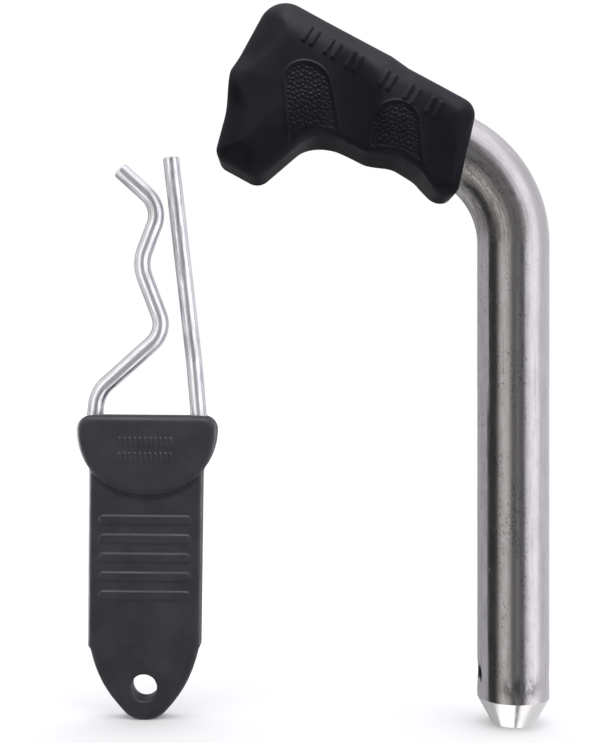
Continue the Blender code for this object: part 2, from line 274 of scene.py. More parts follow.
def closed_outline(corners):
    """The lines and arcs of a closed outline, from its corners (x, z, radius)."""
    places = [Vector(c[:2]) for c in corners]
    area = sum(a.x * b.y - b.x * a.y for a, b in zip(places, places[1:] + places[:1]))
    turning = math.copysign(1.0, area)
    arcs = []
    for i, (_, _, radius) in enumerate(corners):
        before, corner, after = places[i - 1], places[i], places[(i + 1) % len(places)]
        centre, start, end = corner_arc(before, corner, after, radius)
        into, out = corner - before, after - corner
        bulges = math.copysign(1.0, (into.x * out.y - into.y * out.x) * turning)
        arcs.append((centre, radius, (corner - centre).normalized(), start, end, bulges))
    lines = [(arcs[i - 1][4], arcs[i][3]) for i in range(len(arcs))]
    return lines, arcs, turning


def outline_distance(outline, x, z):
    """The distance from an outline, below zero inside it."""
    lines, arcs, turning = outline
    nearest = np.full(np.broadcast(x, z).shape, np.inf)
    signed = np.zeros_like(nearest)
    for start, end in lines:
        along = (end - start).normalized()
        dx, dz = x - start.x, z - start.y
        place = np.clip(dx * along.x + dz * along.y, 0.0, (end - start).length)
        distance = np.hypot(dx - place * along.x, dz - place * along.y)
        side = turning * (dx * along.y - dz * along.x)
        closer = distance < nearest
        signed = np.where(closer, np.copysign(distance, side), signed)
        nearest = np.where(closer, distance, nearest)
    for centre, radius, middle, start, _, bulges in arcs:
        dx, dz = x - centre.x, z - centre.y
        reach = np.hypot(dx, dz)
        opening = middle.dot((start - centre) / radius)
        within = dx * middle.x + dz * middle.y >= reach * opening
        gap = reach - radius
        closer = within & (np.abs(gap) < nearest)
        signed = np.where(closer, gap * bulges, signed)
        nearest = np.where(closer, np.abs(gap), nearest)
    return signed


def rounded_route(corners, step=math.radians(3)):
    """The points of an open route whose inner corners are rounded."""
    places = [Vector(c[:2]) for c in corners]
    points = [places[0]]
    for i in range(1, len(corners) - 1):
        centre, start, end = corner_arc(places[i - 1], places[i], places[i + 1], corners[i][2])
        turn = -(start - centre).angle_signed(end - centre)
        count = max(2, math.ceil(abs(turn) / step))
        for j in range(count + 1):
            points.append(centre + Matrix.Rotation(turn * j / count, 2) @ (start - centre))
    points.append(places[-1])
    return points


def measured(route):
    """A route's points as an array, and how far along the route each one lies."""
    spots = np.array([tuple(point) for point in route])
    return spots, np.concatenate([[0.0], np.cumsum(np.hypot(*np.diff(spots, axis=0).T))])


def even_distances(route, step):
    """Distances about one step apart, from the start of a route to its end."""
    length = measured(route)[1][-1]
    return np.linspace(0.0, length, max(2, math.ceil(length / step)) + 1)


def places_along(route, distances):
    """The places at given distances along a route."""
    spots, lengths = measured(route)
    return np.stack([np.interp(distances, lengths, spots[:, i]) for i in (0, 1)], axis=1)


# ---------------------------------------------------------------- meshes

def new_piece(name, points, faces, material):
    """A mesh object from points in metres."""
    mesh = bpy.data.meshes.new(name)
    mesh.from_pydata(points.tolist(), [], faces)
    mesh.update()
    mesh.shade_smooth()
    mesh.materials.append(material)
    piece = bpy.data.objects.new(name, mesh)
    bpy.context.scene.collection.objects.link(piece)
    return piece


def swept_rod(name, places, distances, radii, sides, material):
    """A round rod along places (x, z) at y = 0, with a record of where it lies once straight."""
    heading = np.gradient(places, axis=0)
    heading /= np.hypot(*heading.T)[:, None]
    square = np.stack([heading[:, 1], -heading[:, 0]], axis=1)
    turns = np.arange(sides) * 2 * math.pi / sides
    across = radii[:, None] * np.cos(turns)
    x = places[:, :1] + square[:, :1] * across
    z = places[:, 1:] + square[:, 1:] * across
    y = radii[:, None] * np.sin(turns)
    points = np.stack([x, y, z], axis=-1).reshape(-1, 3)
    straight = np.stack([across, y, np.broadcast_to(distances[:, None], y.shape)], axis=-1)

    faces = []
    for ring in range(len(places) - 1):
        for side in range(sides):
            a = ring * sides + side
            b = ring * sides + (side + 1) % sides
            faces.append((a, b, b + sides, a + sides))
    last = (len(places) - 1) * sides
    faces.append(tuple(reversed(range(sides))))
    faces.append(tuple(last + side for side in range(sides)))
    piece = new_piece(name, points * MM, faces, material)
    store_straight(piece, straight.reshape(-1, 3))
    return piece


def store_straight(piece, places):
    """Stores where each point would be, in millimetres, on the straightened rod."""
    mesh = piece.data
    if "straight" not in mesh.attributes:
        mesh.attributes.new("straight", "FLOAT_VECTOR", "POINT")
    mesh.attributes["straight"].data.foreach_set("vector", places.astype(np.float32).ravel())


def mesh_points(mesh):
    """The places of a mesh's points, as an array."""
    points = np.empty(len(mesh.vertices) * 3)
    mesh.vertices.foreach_get("co", points)
    return points.reshape(-1, 3)


def surface_net(field, low, high, cell):
    """A closed net of quads near a field's zero level: one point in each cell that it crosses."""
    axes = [np.arange(a, b + cell, cell) for a, b in zip(low, high)]
    x, y, z = np.meshgrid(*axes, indexing="ij", sparse=True)
    inside = field(x, y, z) < 0.0
    corners = [inside[i:i - 1 or None, j:j - 1 or None, k:k - 1 or None].astype(np.int8)
               for i in (0, 1) for j in (0, 1) for k in (0, 1)]
    count = sum(corners)
    crossed = (count > 0) & (count < len(corners))
    number = np.full(crossed.shape, -1)
    number[crossed] = np.arange(crossed.sum())
    points = np.stack([axes[i][index] + cell / 2 for i, index in enumerate(np.nonzero(crossed))],
                      axis=1)

    quads = []
    for axis in range(3):
        cells = np.moveaxis(number, (axis, (axis + 1) % 3, (axis + 2) % 3), (0, 1, 2))
        solid = np.moveaxis(inside, (axis, (axis + 1) % 3, (axis + 2) % 3), (0, 1, 2))
        solid = solid[:, 1:-1, 1:-1]
        ring = np.stack([cells[:, :-1, :-1], cells[:, 1:, :-1], cells[:, 1:, 1:],
                         cells[:, :-1, 1:]], axis=-1)
        leaves = solid[:-1] & ~solid[1:]
        enters = ~solid[:-1] & solid[1:]
        quads.append(ring[leaves])
        quads.append(ring[enters][:, ::-1])
    return points, np.concatenate(quads)


def slope(field, points):
    """A field's value and its gradient, by small steps."""
    x, y, z = points.T
    step = SLOPE_STEP
    value = field(x, y, z)
    gradient = np.stack([
        field(x + step, y, z) - field(x - step, y, z),
        field(x, y + step, z) - field(x, y - step, z),
        field(x, y, z + step) - field(x, y, z - step),
    ], axis=1) / (2 * step)
    return value, gradient


def onto_surface(field, points, moves=LAST_MOVES):
    """Moves points onto a field's zero level, and gives the outward direction at each."""
    for _ in range(moves):
        value, gradient = slope(field, points)
        size = np.maximum((gradient ** 2).sum(axis=1), LEAST_SLOPE_SQUARED)
        points = points - gradient * np.clip(value / size, -LONGEST_MOVE, LONGEST_MOVE)[:, None]
    _, gradient = slope(field, points)
    return points, gradient / np.linalg.norm(gradient, axis=1)[:, None]


def evened(points, edges):
    """Each point moved towards the middle of its neighbours."""
    ends = np.concatenate([edges[:, 0], edges[:, 1]])
    others = np.concatenate([edges[:, 1], edges[:, 0]])
    count = np.bincount(ends, minlength=len(points))
    middle = np.stack([np.bincount(ends, points[others, i], len(points)) / count
                       for i in range(3)], axis=1)
    return (points + middle) / 2


def refine(mesh, wanted):
    """Divides the faces whose points are all wanted, for fine relief."""
    form = bmesh.new()
    form.from_mesh(mesh)
    form.verts.ensure_lookup_table()
    edges = [e for e in form.edges if wanted[e.verts[0].index] and wanted[e.verts[1].index]]
    bmesh.ops.subdivide_edges(form, edges=edges, cuts=FINE_CUTS, use_grid_fill=True)
    form.to_mesh(mesh)
    form.free()


def moulded_piece(name, field, relief, low, high, cell, material):
    """A smooth solid from a field, with its relief raised from the surface."""
    points, quads = surface_net(field, low, high, cell)
    edges = np.sort(np.concatenate([quads[:, [i, (i + 1) % 4]] for i in range(4)]), axis=1)
    edges = np.unique(edges, axis=0)
    for _ in range(SETTLING_PASSES):
        points, _ = onto_surface(field, points, MOVES_PER_PASS)
        points = evened(evened(points, edges), edges)
    points, _ = onto_surface(field, points)
    piece = new_piece(name, points, quads.tolist(), material)
    _, near = relief(*points.T)
    refine(piece.data, near)
    points, outward = onto_surface(field, mesh_points(piece.data))
    height, _ = relief(*points.T)
    points = (points + outward * height[:, None]) * MM
    piece.data.vertices.foreach_set("co", points.ravel())
    piece.data.update()
    piece.data.shade_smooth()
    return piece


# ---------------------------------------------------------------- material nodes

class Shading:
    """The nodes of a material or a world, added one after the other."""

    def __init__(self, tree):
        self.tree = tree

    @classmethod
    def of_material(cls, name, colour, roughness, metallic):
        """A new material, with its shader's plain values set."""
        material = bpy.data.materials.new(name)
        material.use_nodes = True
        shading = cls(material.node_tree)
        shading.material = material
        shading.shader = material.node_tree.nodes["Principled BSDF"]
        shading.shader.inputs["Base Color"].default_value = (*colour, 1.0)
        shading.shader.inputs["Roughness"].default_value = roughness
        shading.shader.inputs["Metallic"].default_value = metallic
        return shading

    def add(self, kind, values=None, **settings):
        """A node with its settings, and its inputs set to numbers or linked to outputs."""
        node = self.tree.nodes.new(kind)
        for name, setting in settings.items():
            setattr(node, name, setting)
        for name, value in (values or {}).items():
            self.put(node.inputs[name], value)
        return node

    def put(self, socket, value):
        """Links an output to a socket, or sets the socket to a number."""
        if isinstance(value, bpy.types.NodeSocket):
            self.tree.links.new(value, socket)
        else:
            socket.default_value = value

    def place(self, source, scale):
        """A coordinate, stretched by a scale in each direction."""
        node = self.add("ShaderNodeVectorMath", {0: source}, operation="MULTIPLY")
        node.inputs[1].default_value = scale
        return node.outputs[0]

    def object_place(self):
        """The place on the object, in metres."""
        return self.add("ShaderNodeTexCoord").outputs["Object"]

    def straight_place(self):
        """The place on the straightened rod, in millimetres."""
        return self.add("ShaderNodeAttribute", attribute_name="straight").outputs["Vector"]

    def noise(self, place, scale, detail=3.0, roughness=0.55):
        """Cloudy noise from 0 to 1."""
        values = {"Vector": place, "Scale": scale, "Detail": detail, "Roughness": roughness}
        return self.add("ShaderNodeTexNoise", values).outputs["Fac"]

    def grain(self, place, stretch, detail, roughness):
        """Noise with its own number of features per millimetre in each direction."""
        return self.noise(self.place(place, stretch), 1.0, detail, roughness)

    def ramp(self, value, low, high, to_low=0.0, to_high=1.0):
        """Maps a range of a value smoothly onto another range."""
        values = {"Value": value, "From Min": low, "From Max": high, "To Min": to_low,
                  "To Max": to_high}
        return self.add("ShaderNodeMapRange", values, interpolation_type="SMOOTHSTEP").outputs[0]

    def math(self, operation, first, second=0.0):
        """One sum on two values."""
        return self.add("ShaderNodeMath", {0: first, 1: second}, operation=operation).outputs[0]

    def blend(self, share, first, second):
        """Goes from one number to another."""
        kept = self.math("MULTIPLY", first, self.math("SUBTRACT", 1.0, share))
        return self.math("ADD", kept, self.math("MULTIPLY", share, second))

    def mix(self, share, first, second):
        """Mixes two colours."""
        node = self.add("ShaderNodeMix", data_type="RGBA")
        for index, value in ((0, share), (6, first), (7, second)):
            if isinstance(value, tuple):
                value = (*value, 1.0)
            self.put(node.inputs[index], value)
        return node.outputs[2]

    def stain(self, colour, share, strength, stain):
        """A colour with another one over it, at a strength where the share is 1."""
        return self.mix(self.math("MULTIPLY", share, strength), colour, stain)

    def bump(self, height, strength, distance, below=None):
        """A bump of a distance in millimetres, on top of another bump."""
        values = {"Height": height, "Strength": strength, "Distance": distance * MM}
        if below is not None:
            values["Normal"] = below
        return self.add("ShaderNodeBump", values).outputs[0]

    def finish(self, **links):
        """Links the shader's inputs by name."""
        for name, value in links.items():
            self.put(self.shader.inputs[name.replace("_", " ")], value)
        return self.material


# The shank's steel: its plain colours, and how strongly each mark covers them with its own.
CLEAN_STEEL = (0.66, 0.645, 0.66)
MACHINED_STEEL = (0.86, 0.85, 0.83)
WORN_STEEL = (0.45, (0.54, 0.52, 0.505))
STREAKED_STEEL = (0.35, (0.38, 0.365, 0.36))
SEAM_STEEL = (0.45, (0.25, 0.225, 0.205))
PICKLED_STEEL = (0.45, (0.27, 0.24, 0.235))
DIRTY_STEEL = (0.75, (0.13, 0.115, 0.11))
SMUDGED_STEEL = (0.75, (0.12, 0.11, 0.11))

# The steel's grains: each one's features per millimetre across, across and along, and its
# noise's detail and roughness.
STREAKS = ((2.2, 2.2, 0.05), 4.0, 0.65)
HAIRS = ((7.0, 7.0, 0.12), 3.0, 0.7)
MOTTLE = ((0.5, 0.5, 0.22), 5.0, 0.65)
TURNING = ((0.05, 0.05, 9.0), 2.0, 0.6)
GRIME = ((2.6, 2.6, 1.6), 4.0, 0.75)
GRIME_PATCHES = ((0.35, 0.35, 0.09), 3.0, 0.6)
BLOTCHES = ((0.30, 0.30, 0.10), 4.0, 0.7)

# The levels of a noise between which a mark fades in.
WORN_LEVELS = (0.38, 0.66)
STREAK_LEVELS = (0.50, 0.70)
SEAM_LEVELS = (0.44, 0.62)
BLOTCH_LEVELS = (0.42, 0.58)
GRIME_LEVELS = (0.52, 0.62)
GRIME_PATCH_LEVELS = (0.46, 0.60)
SMUDGE_LEVELS = (0.36, 0.54)

# The roughness that the streaks and the mottling give between two of their levels, and what the
# smudge, the bend's wear and the blotches add. A bump has its strength and its height.
STEEL_ROUGHNESS = 0.24
STREAK_ROUGHNESS = (0.3, 0.7, 0.10, 0.18)
MOTTLE_ROUGHNESS = (0.4, 0.7, 0.0, 0.10)
ADDED_ROUGHNESS = (0.18, 0.06, 0.14)
HAIR_SHARE = 0.4
OUTER_BEND_SCUFFS = 0.35
SCUFF_BUMP = (0.22, 0.02)
RING_BUMP = (0.4, 0.02)

# The marks on one side of the shank fade over a span of x. The other spans lie along the rod:
# the turned chamfer ends over the first, and the bend's wear fades in and out over the next two.
MARKED_SIDE_SPAN = (0.8, 2.8)
OTHER_SIDE_SHARE = 0.1
BAR_START_SPAN = (TIP_CHAMFER_LENGTH - 0.1, TIP_CHAMFER_LENGTH + 0.1)
BEND_WEAR_START_SPAN = (STRAIGHT_LENGTH - 4.0, STRAIGHT_LENGTH + 6.0)
BEND_WEAR_END_SPAN = (STRAIGHT_LENGTH + 18.0, STRAIGHT_LENGTH + 28.0)
HANDLE_WEAR_SHARE = 0.4
# The dark smudge just above the chamfer.
SMUDGE_START_SPAN = (TIP_CHAMFER_LENGTH + 0.5, TIP_CHAMFER_LENGTH + 3.0)
SMUDGE_END_SPAN = (TIP_CHAMFER_LENGTH + 4.0, TIP_CHAMFER_LENGTH + 7.5)
SMUDGE_MIDDLE = (0.3, -PIN_RADIUS, TIP_CHAMFER_LENGTH + 3.8)
SMUDGE_REACH_SPAN = (2.0, 5.8)

# The wire's zinc, in the same way.
CLEAN_ZINC = (0.84, 0.85, 0.87)
DULL_ZINC = (0.70, 0.71, 0.74)
WORN_ZINC = (0.75, (0.38, 0.385, 0.41))
SPECK_ZINC = (0.5, (0.36, 0.36, 0.38))
SPANGLE = ((1.1, 1.1, 0.20), 4.0, 0.65)
SCRATCHES = ((3.0, 3.0, 0.16), 3.0, 0.65)
WEAR_PATCHES = ((0.30, 0.30, 0.06), 3.0, 0.6)
SPECK_STRETCH = (1.0, 1.0, 0.55)
SPECK_SCALE = 1.7
SPECK_REACH_SPAN = (0.05, 0.22)
SPECK_LEVELS = (0.5, 0.62)
DULL_LEVELS = (0.35, 0.68)
WEAR_PATCH_LEVELS = (0.47, 0.57)
WEAR_LEVELS = (0.42, 0.58)
ZINC_ROUGHNESS = 0.3
SPANGLE_ROUGHNESS = (0.3, 0.7, 0.22, 0.36)
SCRATCH_ROUGHNESS = (0.5, 0.7, 0.0, 0.10)
SCRATCH_BUMP = (0.3, 0.025)
SPANGLE_BUMP = (0.18, 0.04)

# The rubber: its noises, each with its features per millimetre, detail and roughness, and the
# dark and light shade, the roughness and the gloss of each piece.
SPARK_GRAIN = (4.5, 2.0, 0.6)
BLOOM = (0.16, 5.0, 0.62)
RUBBED_PATCHES = (0.07, 3.0, 0.5)
DUST = (1.4, 6.0, 0.75)
BLOOM_LEVELS = (0.35, 0.68)
DUST_LEVELS = (0.60, 0.74)
DUST_STRENGTH = 0.35
DUST_BRIGHTNESS = 2.2
RUBBED_LEVELS = (0.35, 0.65)
RUBBED_ROUGHNESS = (-0.06, 0.05)
SPARK_ROUGHNESS = (0.3, 0.7, -0.03, 0.03)
SPARK_BUMP = (0.5, 0.04)
BLOOM_BUMP = (0.25, 0.2)
GRIP_LOOK = {"dark": (0.0040, 0.0036, 0.0066), "light": (0.0058, 0.0052, 0.0092),
             "roughness": 0.58, "gloss": 0.13}
TAB_LOOK = {"dark": (0.0150, 0.0155, 0.0200), "light": (0.0205, 0.0212, 0.0265),
            "roughness": 0.52, "gloss": 0.34}


def tip_smudge(s, place, along, mottle):
    """How much of the dark smudge lies on each place."""
    rise = s.ramp(along, *SMUDGE_START_SPAN)
    fall = s.ramp(along, *SMUDGE_END_SPAN, 1.0, 0.0)
    away = s.add("ShaderNodeVectorMath", {0: place, 1: SMUDGE_MIDDLE}, operation="DISTANCE")
    spread = s.ramp(away.outputs["Value"], *SMUDGE_REACH_SPAN, 1.0, 0.0)
    blotched = s.math("MULTIPLY", spread, s.ramp(mottle, *SMUDGE_LEVELS))
    return s.math("MULTIPLY", s.math("MULTIPLY", rise, fall), blotched)


def steel_material():
    """Bright drawn bar: fine lengthwise scuffs, mottled handling marks, a turned chamfer."""
    s = Shading.of_material("bright_steel", CLEAN_STEEL, STEEL_ROUGHNESS, 1.0)
    place = s.straight_place()
    across, _, along = s.add("ShaderNodeSeparateXYZ", {0: place}).outputs
    streaks = s.grain(place, *STREAKS)
    hairs = s.grain(place, *HAIRS)
    mottle = s.grain(place, *MOTTLE)

    on_bar = s.ramp(along, *BAR_START_SPAN)
    marked_side = s.ramp(across, *MARKED_SIDE_SPAN, 1.0, OTHER_SIDE_SHARE)
    on_bend = s.math("MULTIPLY", s.ramp(along, *BEND_WEAR_START_SPAN),
                     s.ramp(along, *BEND_WEAR_END_SPAN, 1.0, HANDLE_WEAR_SHARE))
    inside_bend = s.math("MULTIPLY", on_bend, marked_side)
    seams = s.math("MULTIPLY", s.ramp(streaks, *SEAM_LEVELS), inside_bend)
    blotches = s.ramp(s.grain(place, *BLOTCHES), *BLOTCH_LEVELS)
    pickled = s.math("MULTIPLY", blotches, inside_bend)
    dirt = s.math("MULTIPLY", s.ramp(s.grain(place, *GRIME), *GRIME_LEVELS),
                  s.ramp(s.grain(place, *GRIME_PATCHES), *GRIME_PATCH_LEVELS))
    dirt = s.math("MULTIPLY", dirt, marked_side)
    smudge = tip_smudge(s, place, along, mottle)

    colour = s.stain(CLEAN_STEEL, s.ramp(mottle, *WORN_LEVELS), *WORN_STEEL)
    colour = s.stain(colour, s.ramp(streaks, *STREAK_LEVELS), *STREAKED_STEEL)
    colour = s.stain(colour, seams, *SEAM_STEEL)
    colour = s.stain(colour, pickled, *PICKLED_STEEL)
    colour = s.stain(colour, dirt, *DIRTY_STEEL)
    colour = s.stain(colour, smudge, *SMUDGED_STEEL)
    colour = s.mix(on_bar, MACHINED_STEEL, colour)

    roughness = s.math("ADD", s.ramp(streaks, *STREAK_ROUGHNESS),
                       s.ramp(mottle, *MOTTLE_ROUGHNESS))
    for share, rougher in zip((smudge, on_bend, pickled), ADDED_ROUGHNESS):
        roughness = s.math("ADD", roughness, s.math("MULTIPLY", share, rougher))

    scuffs = s.math("ADD", streaks, s.math("MULTIPLY", hairs, HAIR_SHARE))
    scuffs = s.math("MULTIPLY", scuffs, on_bar)
    outside_bend = s.math("SUBTRACT", on_bend, inside_bend)
    scuffs = s.math("MULTIPLY", scuffs, s.ramp(outside_bend, 0.0, 1.0, 1.0, OUTER_BEND_SCUFFS))
    normal = s.bump(scuffs, *SCUFF_BUMP)
    rings = s.math("MULTIPLY", s.grain(place, *TURNING), s.math("SUBTRACT", 1.0, on_bar))
    normal = s.bump(rings, *RING_BUMP, normal)
    return s.finish(Base_Color=colour, Roughness=roughness, Normal=normal)


def zinc_material():
    """Bright zinc plating on spring wire: pale, slightly blue, with small scuffs and specks."""
    s = Shading.of_material("zinc_plated_wire", CLEAN_ZINC, ZINC_ROUGHNESS, 1.0)
    place = s.straight_place()
    spangle = s.grain(place, *SPANGLE)
    scratches = s.grain(place, *SCRATCHES)
    grains = {"Vector": s.place(place, SPECK_STRETCH), "Scale": SPECK_SCALE, "Randomness": 1.0}
    nearest = s.add("ShaderNodeTexVoronoi", grains).outputs["Distance"]
    specks = s.math("MULTIPLY", s.ramp(nearest, *SPECK_REACH_SPAN, 1.0, 0.0),
                    s.ramp(spangle, *SPECK_LEVELS))
    wear = s.math("MULTIPLY", s.ramp(s.grain(place, *WEAR_PATCHES), *WEAR_PATCH_LEVELS),
                  s.ramp(scratches, *WEAR_LEVELS))

    colour = s.mix(s.ramp(spangle, *DULL_LEVELS), CLEAN_ZINC, DULL_ZINC)
    colour = s.stain(colour, wear, *WORN_ZINC)
    colour = s.stain(colour, specks, *SPECK_ZINC)
    roughness = s.math("ADD", s.ramp(spangle, *SPANGLE_ROUGHNESS),
                       s.ramp(scratches, *SCRATCH_ROUGHNESS))
    normal = s.bump(scratches, *SCRATCH_BUMP)
    normal = s.bump(spangle, *SPANGLE_BUMP, normal)
    return s.finish(Base_Color=colour, Roughness=roughness, Normal=normal)


def rubber_material(name, dark, light, roughness, gloss):
    """Moulded rubber: a fine spark-eroded grain, faint bloom and rubbed, slightly shiny patches."""
    s = Shading.of_material(name, dark, roughness, 0.0)
    s.shader.inputs["Specular IOR Level"].default_value = gloss
    place = s.place(s.object_place(), (1 / MM, 1 / MM, 1 / MM))
    grain = s.noise(place, *SPARK_GRAIN)
    bloom = s.noise(place, *BLOOM)
    rubbed = s.noise(place, *RUBBED_PATCHES)
    dust = s.noise(place, *DUST)

    dusty = tuple(c * DUST_BRIGHTNESS for c in light)
    colour = s.mix(s.ramp(bloom, *BLOOM_LEVELS), dark, light)
    colour = s.stain(colour, s.ramp(dust, *DUST_LEVELS), DUST_STRENGTH, dusty)
    shiny, dull = (roughness + change for change in RUBBED_ROUGHNESS)
    rough = s.math("ADD", s.ramp(rubbed, *RUBBED_LEVELS, shiny, dull),
                   s.ramp(grain, *SPARK_ROUGHNESS))
    normal = s.bump(grain, *SPARK_BUMP)
    normal = s.bump(bloom, *BLOOM_BUMP, normal)
    return s.finish(Base_Color=colour, Roughness=rough, Normal=normal)


# ---------------------------------------------------------------- the pin

def handle_frame():
    """The start of the straight handle, its direction, and the direction square to it."""
    outward = Vector((math.cos(BEND_ANGLE), math.sin(BEND_ANGLE)))
    start = Vector((-BEND_RADIUS, STRAIGHT_LENGTH)) + outward * BEND_RADIUS
    return start, Vector((-outward.y, outward.x)), outward


def handle_coordinates(x, z):
    """u along the handle and v square to it, from a place in the bend's plane."""
    start, along, outward = handle_frame()
    dx, dz = x - start.x, z - start.y
    return dx * along.x + dz * along.y, dx * outward.x + dz * outward.y


def pin_route():
    """The pin's centre line: up the shank, round the bend and along the handle."""
    start, along, _ = handle_frame()
    bend = []
    for i in range(PIN_BEND_STEPS + 1):
        angle = BEND_ANGLE * i / PIN_BEND_STEPS
        bend.append(Vector((BEND_RADIUS * (math.cos(angle) - 1.0),
                            STRAIGHT_LENGTH + BEND_RADIUS * math.sin(angle))))
    return [Vector((0.0, 0.0))] + bend + [start + along * HANDLE_LENGTH]


def pin_profile():
    """The pin's radius at each distance along it, with its edges slightly rounded."""
    corners = (
        (TIP_FACE_RADIUS / 2, 0.0, 0.0),
        (TIP_FACE_RADIUS, 0.0, TIP_FACE_ROUND),
        (PIN_RADIUS, TIP_CHAMFER_LENGTH, TIP_CHAMFER_ROUND),
        (PIN_RADIUS, TIP_END, 0.0),
    )
    tip = rounded_route(corners, TIP_ROUND_STEP)[1:]
    marks = even_distances(pin_route(), PIN_STEP)
    above = marks[marks > TIP_END + PIN_STEP / 2]
    distances = np.concatenate([[p.y for p in tip], above])
    radii = np.concatenate([[p.x for p in tip], np.full(len(above), PIN_RADIUS)])
    radii[-1] = PIN_RADIUS - HANDLE_END_STEP
    return distances, radii


def straightened_pin(points):
    """Where points of the bent pin lie, in millimetres, once it is straight."""
    x, y, z = points.T
    u, v = handle_coordinates(x, z)
    angle = np.arctan2(z - STRAIGHT_LENGTH, x + BEND_RADIUS)
    out = np.hypot(x + BEND_RADIUS, z - STRAIGHT_LENGTH) - BEND_RADIUS
    below, beyond = z <= STRAIGHT_LENGTH, u > 0
    across = np.where(below, x, np.where(beyond, v, out))
    bent = STRAIGHT_LENGTH + BEND_RADIUS * np.where(beyond, BEND_ANGLE, angle)
    along = np.where(below, z, bent + np.where(beyond, u, 0.0))
    return np.stack([across, y, along], axis=1)


def cross_hole_cutter():
    """A turned cutter along X for the clip's hole and the shallow sink at each side of it."""
    reach = PIN_RADIUS + CUTTER_MARGIN
    sink = PIN_RADIUS - (COUNTERSINK_RADIUS - CROSS_HOLE_RADIUS)
    places = np.array([(x, CROSS_HOLE_HEIGHT) for x in (-reach, -sink, sink, reach)])
    mouth = COUNTERSINK_RADIUS + CUTTER_MARGIN
    radii = np.array([mouth, CROSS_HOLE_RADIUS, CROSS_HOLE_RADIUS, mouth])
    return swept_rod("cross_hole_cutter", places, places[:, 0], radii, CUTTER_SIDES, STEEL)


def build_pin_shank():
    """The bent rod, with its cross-hole cut and its marks laid out along the straight rod."""
    distances, radii = pin_profile()
    places = places_along(pin_route(), distances)
    shank = swept_rod("pin_shank_fine", places, distances, radii, PIN_SIDES, STEEL)
    cutter = cross_hole_cutter()
    modifier = shank.modifiers.new("cross_hole", "BOOLEAN")
    modifier.operation = "DIFFERENCE"
    modifier.object = cutter
    modifier.solver = "EXACT"
    depsgraph = bpy.context.evaluated_depsgraph_get()
    mesh = bpy.data.meshes.new_from_object(shank.evaluated_get(depsgraph))
    shank.modifiers.clear()
    shank.data = mesh
    bpy.data.objects.remove(cutter)
    store_straight(shank, straightened_pin(mesh_points(mesh) / MM))
    mesh.shade_smooth()
    mesh.set_sharp_from_angle(angle=PIN_SHARP_ANGLE)
    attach(shank, "pin")
    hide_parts("pin_shank")


def grip_field(x, y, z):
    """The grip's solid: a rounded slab with two finger valleys on each face."""
    u, v = handle_coordinates(x, z)
    edge = outline_distance(GRIP_OUTLINE, u, v)
    near_round, far_round = GRIP_TOP_ROUNDS
    top_round = near_round + (far_round - near_round) * smoothstep(*GRIP_TOP_ROUNDS_SPAN, u)
    lobe = smoothstep(*GRIP_LOBE_SPAN, v) + smoothstep(*GRIP_INNER_END_SPAN, u)
    radius = GRIP_ARCH_ROUND + (GRIP_LOBE_ROUND - GRIP_ARCH_ROUND) * np.minimum(lobe, 1.0)
    end = GRIP_END_ROUND_REACH * smoothstep(*GRIP_END_SPAN, u)
    radius = radius + (top_round - radius) * smoothstep(*GRIP_TOP_SPAN, v + end)
    crown = GRIP_CROWN * (1.0 - smoothstep(0.0, GRIP_CROWN_REACH, -edge))
    solid = rounded_slab(edge, np.abs(y) - GRIP_HALF_THICKNESS + crown, radius)
    start, along, outward = handle_frame()
    for place in VALLEY_HANDLE_PLACES:
        top = start + along * place + outward * PIN_RADIUS
        axis = GRIP_HALF_THICKNESS + VALLEY_RADIUS - (top.y - z) * math.tan(VALLEY_LEAN)
        valley = VALLEY_RADIUS - np.hypot(x - top.x, np.abs(y) - axis)
        solid = smooth_max(solid, valley, VALLEY_BLEND)
    return solid


def pad_distance(pad, x, z):
    """The distance from the sides and the arched top of a finger pad, below zero inside."""
    down = pad["top"][1] - z
    across = x - pad["top"][0] - pad["lean"] * down
    half = pad["half_width"]
    arch = np.hypot(across, down - half) - half
    sides = np.abs(across) - half - pad["flare"] * (down - half)
    return np.where(down < half, arch, sides)


def wander(waves, x, z):
    """How far a sum of waves pushes each place."""
    return sum(size * np.sin(x * turn_x + z * turn_z) for size, turn_x, turn_z in waves)


def pebbles(x, z):
    """Close-packed round bumps, from 0 between them to 1 on top."""
    turn = 4 * math.pi / (math.sqrt(3) * PEBBLE_PITCH)
    x = x + wander(PEBBLE_WAVES_X, x, z)
    z = z + wander(PEBBLE_WAVES_Z, x, z)
    waves = sum(np.cos(turn * (x * math.cos(a) + z * math.sin(a)))
                for a in (0.0, math.pi / 3, 2 * math.pi / 3))
    return smoothstep(*PEBBLE_WAVE_SPAN, waves)


def bar_distance(u, v, middle, half_length):
    """The distance from a short bar that stands square to the grip's upper edge."""
    return np.hypot(u - middle[0], np.maximum(np.abs(v - middle[1]) - half_length, 0.0))


